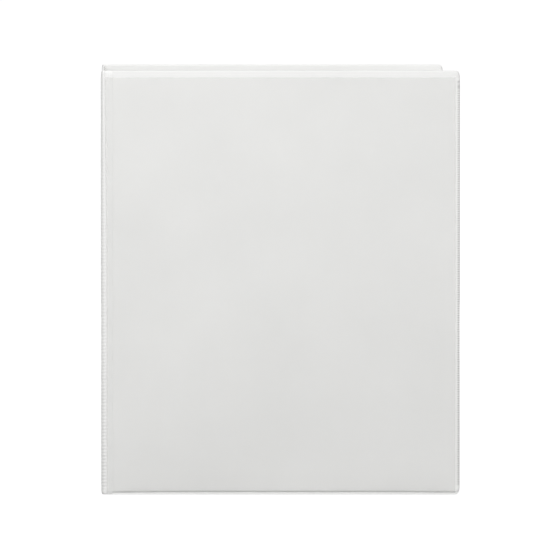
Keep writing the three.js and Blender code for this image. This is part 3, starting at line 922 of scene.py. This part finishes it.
# The housing's section: how far its lips turn in, the height where its shoulders bend, and half
# the width of its crown, which is lower at its sides than in the middle
HOUSING_WALL = 0.8
LIP_WIDTH = 1.9
SHOULDER_HEIGHT = 2.6
CROWN_HALF_WIDTH = 4.8
CROWN_DROP = 0.25
LIP_BEND, SHOULDER_BEND, CROWN_BEND, RIDGE_BEND = 0.75, 1.6, 2.4, 40
HOUSING_END_STEP = 0.25

# Slots for the rings, inward and outward of their feet and up, and holes for the rivets
SLOT_INWARD, SLOT_OUTWARD, SLOT_CLEARANCE = 2.2, 2.9, 0.5
SLOT_BOTTOM, SLOT_TOP = 2.9, 9.0
SLOT_END_STEPS = 8
HOLE_RADIUS, HOLE_REACH, HOLE_SIDES = 2.2, 2, 28


def filleted(corners, steps=5):
    """A smooth path from corners given as (x, y, bend radius)."""
    path = [Vector(corners[0][:2])]
    for before, here, after in zip(corners, corners[1:], corners[2:]):
        p, radius = Vector(here[:2]), here[2]
        a = (Vector(before[:2]) - p).normalized()
        b = (Vector(after[:2]) - p).normalized()
        half = a.angle(b) / 2
        reach = radius / math.tan(half)
        centre = p + (a + b).normalized() * radius / math.sin(half)
        start, end = p + a * reach - centre, p + b * reach - centre
        sweep = start.angle(end)
        for i in range(steps + 1):
            w = i / steps
            mixed = start * math.sin((1 - w) * sweep) + end * math.sin(w * sweep)
            path.append(centre + mixed / math.sin(sweep))
    path.append(Vector(corners[-1][:2]))
    return path


def thick_section(path, thickness):
    """A closed outline at half a thickness on both sides of a path."""
    sides = ([], [])
    for i, p in enumerate(path):
        ahead = (path[min(i + 1, len(path) - 1)] - path[max(i - 1, 0)]).normalized()
        across = Vector((-ahead.y, ahead.x)) * thickness / 2
        sides[0].append(p + across)
        sides[1].append(p - across)
    return sides[0] + sides[1][::-1]


def swept_solid(rings):
    """A closed body through a list of equal rings of points, with flat ends."""
    count = len(rings[0])
    points = [p for ring in rings for p in ring]
    faces = []
    for k in range(len(rings) - 1):
        for i in range(count):
            j = (i + 1) % count
            faces.append((k * count + i, k * count + j, (k + 1) * count + j, (k + 1) * count + i))
    last = (len(rings) - 1) * count
    faces.append(tuple(range(count)))
    faces.append(tuple(last + i for i in reversed(range(count))))
    return points, faces


def from_seat(height, y, z):
    """A point at a height over the mechanism's seat on the spine."""
    return Vector((SEAT_X + height * MM, y * MM, z * MM))


def node_level(node):
    """The height of a node's middle, from the frame."""
    low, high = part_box(node)
    return (low.z + high.z) / 2 / MM


RING_LEVELS = {number: node_level(f"ring_front_{number}") for number in (1, 2, 3)}
RIVET_LEVELS = {name: node_level(name) for name in ("rivet_top", "rivet_bottom")}


def circle(height, y, z, across, radius, sides):
    """A ring of points about a place over the seat. It lies in the plane of z and the direction
    across, whose two parts point out from the seat and along y."""
    ring = []
    for i in range(sides):
        a = 2 * math.pi * i / sides
        reach, rise = radius * math.cos(a), radius * math.sin(a)
        ring.append(from_seat(height + across[0] * reach, y + across[1] * reach, z + rise))
    return ring


def solid_object(name, rings):
    return add_object(name, closed_mesh(name, *swept_solid(rings)))


def cut_mesh(body, cutters):
    """The mesh of a body with cutters taken out. The working objects are removed."""
    for cutter in cutters:
        step = body.modifiers.new("cut", "BOOLEAN")
        step.operation = "DIFFERENCE"
        step.solver = "EXACT"
        step.object = cutter
    bpy.context.view_layer.update()
    evaluated = body.evaluated_get(bpy.context.evaluated_depsgraph_get())
    mesh = bpy.data.meshes.new_from_object(evaluated)
    for used in [body, *cutters]:
        bpy.data.objects.remove(used)
    return mesh


def slot_cutter(side, level):
    """A slot with round ends through the housing's shoulder, for one ring half."""
    half_width = WIRE_RADIUS + SLOT_CLEARANCE
    low_end = FOOT_OFFSET - SLOT_INWARD + half_width
    high_end = FOOT_OFFSET + SLOT_OUTWARD - half_width
    rings = []
    for height in (SLOT_BOTTOM, SLOT_TOP):
        ring = []
        for end, turn in ((high_end, 0), (low_end, math.pi)):
            for i in range(SLOT_END_STEPS + 1):
                a = turn - math.pi / 2 + math.pi * i / SLOT_END_STEPS
                y = end + half_width * math.cos(a)
                ring.append(from_seat(height, side * y, level + half_width * math.sin(a)))
        rings.append(ring)
    return solid_object("slot_cutter", rings)


def turned(profile, level, sides):
    """Rings of a turned shape whose axis stands on the seat, from heights and radii."""
    return [circle(h, 0, level, (0, 1), r, sides) for h, r in profile]


def ring_housing():
    """The sheet steel channel, with a slot for each ring half and a hole for each rivet."""
    half = node_width("ring_housing", 1) / 2
    height = node_width("ring_housing", 0)
    middle = HOUSING_WALL / 2
    half_path = [
        (middle, half - LIP_WIDTH, 0),
        (middle, half - middle, LIP_BEND),
        (SHOULDER_HEIGHT, half - middle, SHOULDER_BEND),
        (height - middle - CROWN_DROP, CROWN_HALF_WIDTH, CROWN_BEND),
    ]
    ridge = [(height - middle, 0, RIDGE_BEND)]
    other = [(h, -y, r) for h, y, r in reversed(half_path)]
    section = thick_section(filleted(half_path + ridge + other), HOUSING_WALL)
    low, high = HOUSING_LOW.z / MM, HOUSING_HIGH.z / MM
    levels = [low, low + HOUSING_END_STEP, high - HOUSING_END_STEP, high]
    rings = [[from_seat(p.x, p.y, z) for p in section] for z in levels]
    body = solid_object("housing_blank", rings)
    cutters = [slot_cutter(side, z) for z in RING_LEVELS.values() for side in (-1, 1)]
    hole = [(height - HOLE_REACH, HOLE_RADIUS), (height + HOLE_REACH, HOLE_RADIUS)]
    for z in RIVET_LEVELS.values():
        cutters.append(solid_object("hole_cutter", turned(hole, z, HOLE_SIDES)))
    mesh = cut_mesh(body, cutters)
    return dress("ring_channel", mesh, NICKEL, "spine", ["ring_housing"])


RING_STEPS, FOOT_STEPS = 56, 3
WIRE_SIDES = 20

# A ring's tip ends this far short of the middle. Its sections are given as distance beyond its end
# face and radius.
TIP_GAP = 0.15
TIP_CHAMFER = 0.22
PIN = [(0.85, 0.02), (0.83, 0.45), (0.6, 0.72), (0.35, 0.8), (0.05, 0.8)]
CUP = [(-1.1, 0.02), (-1.1, 0.9), (0.0, 1.0)]

# The wire's turn past straight down at the start of its foot, which fades along the foot
ELBOW_TURN = 0.35


def ring_half(side, number, level):
    """Half of a ring: an arc from its tip down to the housing, and a straight foot. The front
    half ends in a pin and the back half in the cup that takes it."""
    name = "front" if side < 0 else "back"
    node = f"ring_{name}_{number}"
    foot_height = (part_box(node)[0].x - SEAT_X) / MM
    top = (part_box(node)[1].x - SEAT_X) / MM
    centre = top - WIRE_RADIUS - RING_RADIUS
    start = math.asin(TIP_GAP / RING_RADIUS)
    end = math.pi - math.asin(FOOT_OFFSET / RING_RADIUS)
    elbow = centre + RING_RADIUS * math.cos(end)
    stations = []
    for i in range(RING_STEPS + 1):
        a = start + (end - start) * i / RING_STEPS
        place = (centre + RING_RADIUS * math.cos(a), side * RING_RADIUS * math.sin(a))
        stations.append((place, a))
    for i in range(1, FOOT_STEPS + 1):
        height = elbow + (foot_height - elbow) * i / FOOT_STEPS
        angle = math.pi / 2 + ELBOW_TURN * (1 - i / FOOT_STEPS)
        stations.append(((height, side * FOOT_OFFSET), angle))
    tip = stations[0][0]
    rings = []
    for along, radius in PIN if side < 0 else CUP:
        rings.append(wire_ring((tip[0], tip[1] - side * along), 0.0, radius, side, level))
    rings.append(wire_ring(tip, 0.0, WIRE_RADIUS - TIP_CHAMFER, side, level))
    for place, angle in stations:
        rings.append(wire_ring(place, angle, WIRE_RADIUS, side, level))
    points, faces = swept_solid(rings)
    body = "front_ring_halves" if side < 0 else "back_ring_halves"
    return add_piece(f"ring_wire_{name}_{number}", points, faces, NICKEL, body, [node])


def wire_ring(place, angle, radius, side, level):
    """A circle of wire across a ring's path. The angle is the path's turn from the ring's top."""
    outward = (math.cos(angle), side * math.sin(angle))
    return circle(*place, level, outward, radius, WIRE_SIDES)


# Section of a rivet, as height and radius: its flat head over its own bottom, its collar over the
# housing's crown, a dome on the collar, and a dimple under its top
RIVET_HEAD = [(0, 0.02), (0, 4.4), (0.15, 4.5), (0.8, 4.5), (0.8, 2.0)]
RIVET_COLLAR = [(0.08, 2.0), (0.08, 3.9), (0.3, 4.0), (0.38, 3.85), (0.4, 3.5)]
DOME_RADIUS = 3.4
DOME_DEGREES = (5, 20, 35, 50, 63, 75)
RIVET_DIMPLE = [(0, 0.6), (-0.12, 0.35), (-0.14, 0.02)]
RIVET_SIDES = 36


def rivet(name, level):
    """A domed rivet with a thin collar, a shank and a flat head in the board."""
    low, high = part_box(name)
    bottom, top = (low.x - SEAT_X) / MM, (high.x - SEAT_X) / MM
    crown = node_width("ring_housing", 0)
    collar = RIVET_COLLAR[-1][0]
    dome = top - crown - collar
    profile = [(bottom + h, r) for h, r in RIVET_HEAD] + [(crown + h, r) for h, r in RIVET_COLLAR]
    for a in map(math.radians, DOME_DEGREES):
        profile.append((crown + collar + dome * math.sin(a), DOME_RADIUS * math.cos(a)))
    profile += [(top + h, r) for h, r in RIVET_DIMPLE]
    points, faces = swept_solid(turned(profile, level, RIVET_SIDES))
    return add_piece(name + "_domed", points, faces, NICKEL, "spine", [name])


# A trigger's pivot stands over the seat and in from the housing's end. Its lever leans out from
# there, and u is the distance along it.
PIVOT_HEIGHT, PIVOT_INSET = 3.2, 1.5
LEVER_LEAN = math.radians(40)
LEVER_LENGTH = 14.0
LEVER_HALF_THICKNESS = 0.6
LEVER_ROWS, LEVER_COLUMNS = 26, 15

# The neck widens to the pad from a distance along the lever
NECK_HALF_WIDTH, PAD_WIDENING = 4.3, 3.6
PAD_FROM, PAD_REACH = 5.2, 3.0

# The lever's edges are round. It thins to a share at its tip, whose corners are cut.
LEVER_ROUND = 0.7
ROOT_START, ROOT_ROUND = 0.02, 0.6
TIP_SHARE, TIP_TAPER = 0.55, 1.6
CORNER_CUT, CORNER_REACH = 0.22, 2.2

# The tip curls away from the seat, and the middle of the pad stands out
CURL_DEPTH, CURL_FROM = 0.78, 9.5
SWELL_DEPTH, SWELL_MIDDLE, SWELL_REACH = 0.21, 9.8, 3.4

BARREL_REACH, BARREL_RADIUS = 7.0, 1.15
BARREL_CHAMFER = 0.25
BARREL_SIDES = 20


def trigger(end, name, body):
    """A pressed lever at one end of the housing: neck, wide thumb pad and a curled tip."""
    housing_end = (HOUSING_HIGH if end > 0 else HOUSING_LOW).z / MM
    level = housing_end - end * PIVOT_INSET
    ups = [LEVER_LENGTH * i / LEVER_ROWS for i in range(LEVER_ROWS + 1)]

    def half_width(u):
        return NECK_HALF_WIDTH + PAD_WIDENING * smooth((u - PAD_FROM) / PAD_REACH)

    def fullness(u, across):
        """The share of its thickness that the lever has there."""
        side = round_over((1 - abs(across)) * half_width(u) / LEVER_ROUND)
        tip = round_over((LEVER_LENGTH - u) / LEVER_ROUND)
        root = round_over((u + ROOT_START) / ROOT_ROUND)
        taper = TIP_SHARE + (1 - TIP_SHARE) * smooth((LEVER_LENGTH - u) / TIP_TAPER)
        return min(side, tip, root) * taper

    def pushed_out(u, across):
        """How far the lever stands out from its plane there, away from the seat."""
        curl = CURL_DEPTH * smooth((u - CURL_FROM) / (LEVER_LENGTH - CURL_FROM))
        swell = SWELL_DEPTH * bump((u - SWELL_MIDDLE) / SWELL_REACH) * (1 - across * across)
        return curl + swell

    def place(c, u, side):
        across = math.sin(math.pi * (c / (LEVER_COLUMNS - 1) - 0.5))
        cut = CORNER_CUT * smooth((u - LEVER_LENGTH + CORNER_REACH) / CORNER_REACH) ** 2
        y = across * half_width(u) * (1 - cut)
        v = pushed_out(u, across) + side * LEVER_HALF_THICKNESS * fullness(u, across)
        h = PIVOT_HEIGHT + u * math.sin(LEVER_LEAN) + v * math.cos(LEVER_LEAN)
        onward = u * math.cos(LEVER_LEAN) - v * math.sin(LEVER_LEAN)
        return from_seat(h, y, level + end * onward)

    def top(c, u):
        return place(c, u, 1)

    def under(c, u):
        return place(c, u, -1)

    rows = range(len(ups))
    points, faces, _ = closed_sheet(LEVER_COLUMNS, set(), ups, rows, top, under)
    barrel_points, barrel_faces = pivot_barrel(level)
    shift = len(points)
    points += barrel_points
    faces += [tuple(i + shift for i in face) for face in barrel_faces]
    return add_piece(name + "_lever", points, faces, NICKEL, body, [name])


def pivot_barrel(level):
    """The round pin that a trigger turns on, with chamfered ends."""
    full, end_radius = BARREL_REACH - BARREL_CHAMFER, BARREL_RADIUS - BARREL_CHAMFER
    near_end, far_end = (-BARREL_REACH, end_radius), (BARREL_REACH, end_radius)
    sections = (near_end, (-full, BARREL_RADIUS), (full, BARREL_RADIUS), far_end)
    return swept_solid(
        [circle(PIVOT_HEIGHT, y, level, (1, 0), r, BARREL_SIDES) for y, r in sections]
    )


# Build

for panel in (front, back, spine):
    vinyl_sheet(panel, 1)
    vinyl_sheet(panel, -1)
    overlay_film(panel)
for panel in (front, back):
    pocket_film(panel)

front_left = Vector((cad_box[0].x, cad_box[0].y, 0))
back_left = Vector((cad_box[0].x, cad_box[1].y, 0))
hinge_fold("front_hinge_fold", front_left, X, Y, "front_hinge_strip")
hinge_fold("back_hinge_fold", back_left, -Y, X, "back_hinge_strip")

ring_housing()
for number, level in RING_LEVELS.items():
    for side in (-1, 1):
        ring_half(side, number, level)
for name, level in RIVET_LEVELS.items():
    rivet(name, level)
trigger(1, "trigger_top", "top_trigger")
trigger(-1, "trigger_bottom", "bottom_trigger")

for node, material in (
    ("front_board", BOARD),
    ("back_board", BOARD),
    ("spine_board", BOARD),
    ("blade_front", SPRING),
    ("blade_back", SPRING),
):
    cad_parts[node].material_slots[0].material = material


# Floor, light and camera, in metres

FLOOR_REACH = 30.0
FLOOR_BOUNCE = 0.55
FLOOR_DARK, FLOOR_LIGHT = 0.31, 0.33
FLOOR_GLOW = 0.78
SOFTBOX_SIZE = (1.0, 0.7)

# Strength of the studio in front and at its side walls, and where it starts and ends to darken
STUDIO_FRONT, STUDIO_SIDE = 0.84, 0.18
DARKENS_FROM, DARKENS_TO = 0.4, 0.95


def floor_material():
    """Pale paper that glows for the camera alone. To the object it is a plain grey floor."""
    white = (1, 1, 1, 1)
    material, tree, shader = new_material("pale_floor", Roughness=0.9, Emission_Color=white)
    vector = object_coordinates(tree)
    tone = noise(tree, vector, 1.5, detail=2)
    seen = tinted(tree, tone, [FLOOR_DARK] * 3, [FLOOR_LIGHT] * 3)
    path = tree.nodes.new("ShaderNodeLightPath")
    mix = tree.nodes.new("ShaderNodeMix")
    mix.data_type = "RGBA"
    mix.inputs["A"].default_value = (*[FLOOR_BOUNCE] * 3, 1)
    tree.links.new(path.outputs["Is Camera Ray"], mix.inputs["Factor"])
    tree.links.new(seen, mix.inputs["B"])
    tree.links.new(mix.outputs["Result"], shader.inputs["Base Color"])
    glow = ranged(tree, path.outputs["Is Camera Ray"], 0, FLOOR_GLOW, 0, 1)
    tree.links.new(glow, shader.inputs["Emission Strength"])
    return material


def add_floor():
    mesh = bpy.data.meshes.new("floor")
    reach = FLOOR_REACH
    corners = [(-reach, -reach, 0), (reach, -reach, 0), (reach, reach, 0), (-reach, reach, 0)]
    mesh.from_pydata(corners, [], [(0, 1, 2, 3)])
    mesh.materials.append(floor_material())
    floor = add_object("floor", mesh)


def add_world():
    """A white studio round the object, darker toward its two side walls."""
    world = bpy.data.worlds.new("studio")
    world.use_nodes = True
    tree = world.node_tree
    background = tree.nodes["Background"]
    background.inputs["Color"].default_value = (1, 1, 1, 1)
    place = tree.nodes.new("ShaderNodeTexCoord")
    split = tree.nodes.new("ShaderNodeSeparateXYZ")
    tree.links.new(place.outputs["Generated"], split.inputs["Vector"])
    side = tree.nodes.new("ShaderNodeMath")
    side.operation = "ABSOLUTE"
    tree.links.new(split.outputs["X"], side.inputs[0])
    strength = ranged(
        tree, side.outputs["Value"], STUDIO_FRONT, STUDIO_SIDE, DARKENS_FROM, DARKENS_TO
    )
    tree.links.new(strength, background.inputs["Strength"])
    bpy.context.scene.world = world


def add_softbox(name, place, target, power, mirrored=True):
    """A rectangular area light. One that isn't mirrored leaves no gleam on glossy surfaces."""
    light = bpy.data.lights.new(name, "AREA")
    light.shape = "RECTANGLE"
    light.size, light.size_y = SOFTBOX_SIZE
    light.energy = power
    box = add_object(name, light)
    box.location = place
    box.rotation_euler = (Vector(target) - Vector(place)).to_track_quat("-Z", "Y").to_euler()
    box.visible_glossy = mirrored


# The photo's view: straight on, a little from above, through a long lens, so that the cover's
# sides stay nearly parallel. The photo shows the binder at a known scale in a square frame. The
# sensor is in millimetres.
CAMERA_DISTANCE = 15.0
CAMERA_ELEVATION = 6.42
CLIP_START, CLIP_END = 0.5, 100
SENSOR = 36.0
FRAME_PIXELS = 560
PIXELS_PER_MM = 1.434
FRAME_WIDTH = FRAME_PIXELS / PIXELS_PER_MM * MM
AIM = Vector((-0.00013, 0, 0.148))


def add_camera():
    data = bpy.data.cameras.new("camera")
    data.sensor_width = SENSOR
    data.lens = SENSOR * CAMERA_DISTANCE / FRAME_WIDTH
    data.clip_start, data.clip_end = CLIP_START, CLIP_END
    camera = add_object("camera", data)
    e = math.radians(CAMERA_ELEVATION)
    back_way = Vector((0, -math.cos(e), math.sin(e)))
    camera.location = AIM + back_way * CAMERA_DISTANCE
    camera.rotation_euler = (-back_way).to_track_quat("-Z", "Y").to_euler()
    bpy.context.scene.camera = camera


add_floor()
add_world()
add_softbox("top_softbox", place=(-0.12, -1.02, 0.8), target=(0, 0, 0.1), power=7.3)
add_softbox("back_softbox", place=(0.1, 1.1, 0.4), target=(0, 0, 0.15), power=5, mirrored=False)
add_camera()
bpy.context.scene.view_settings.view_transform = "Standard"
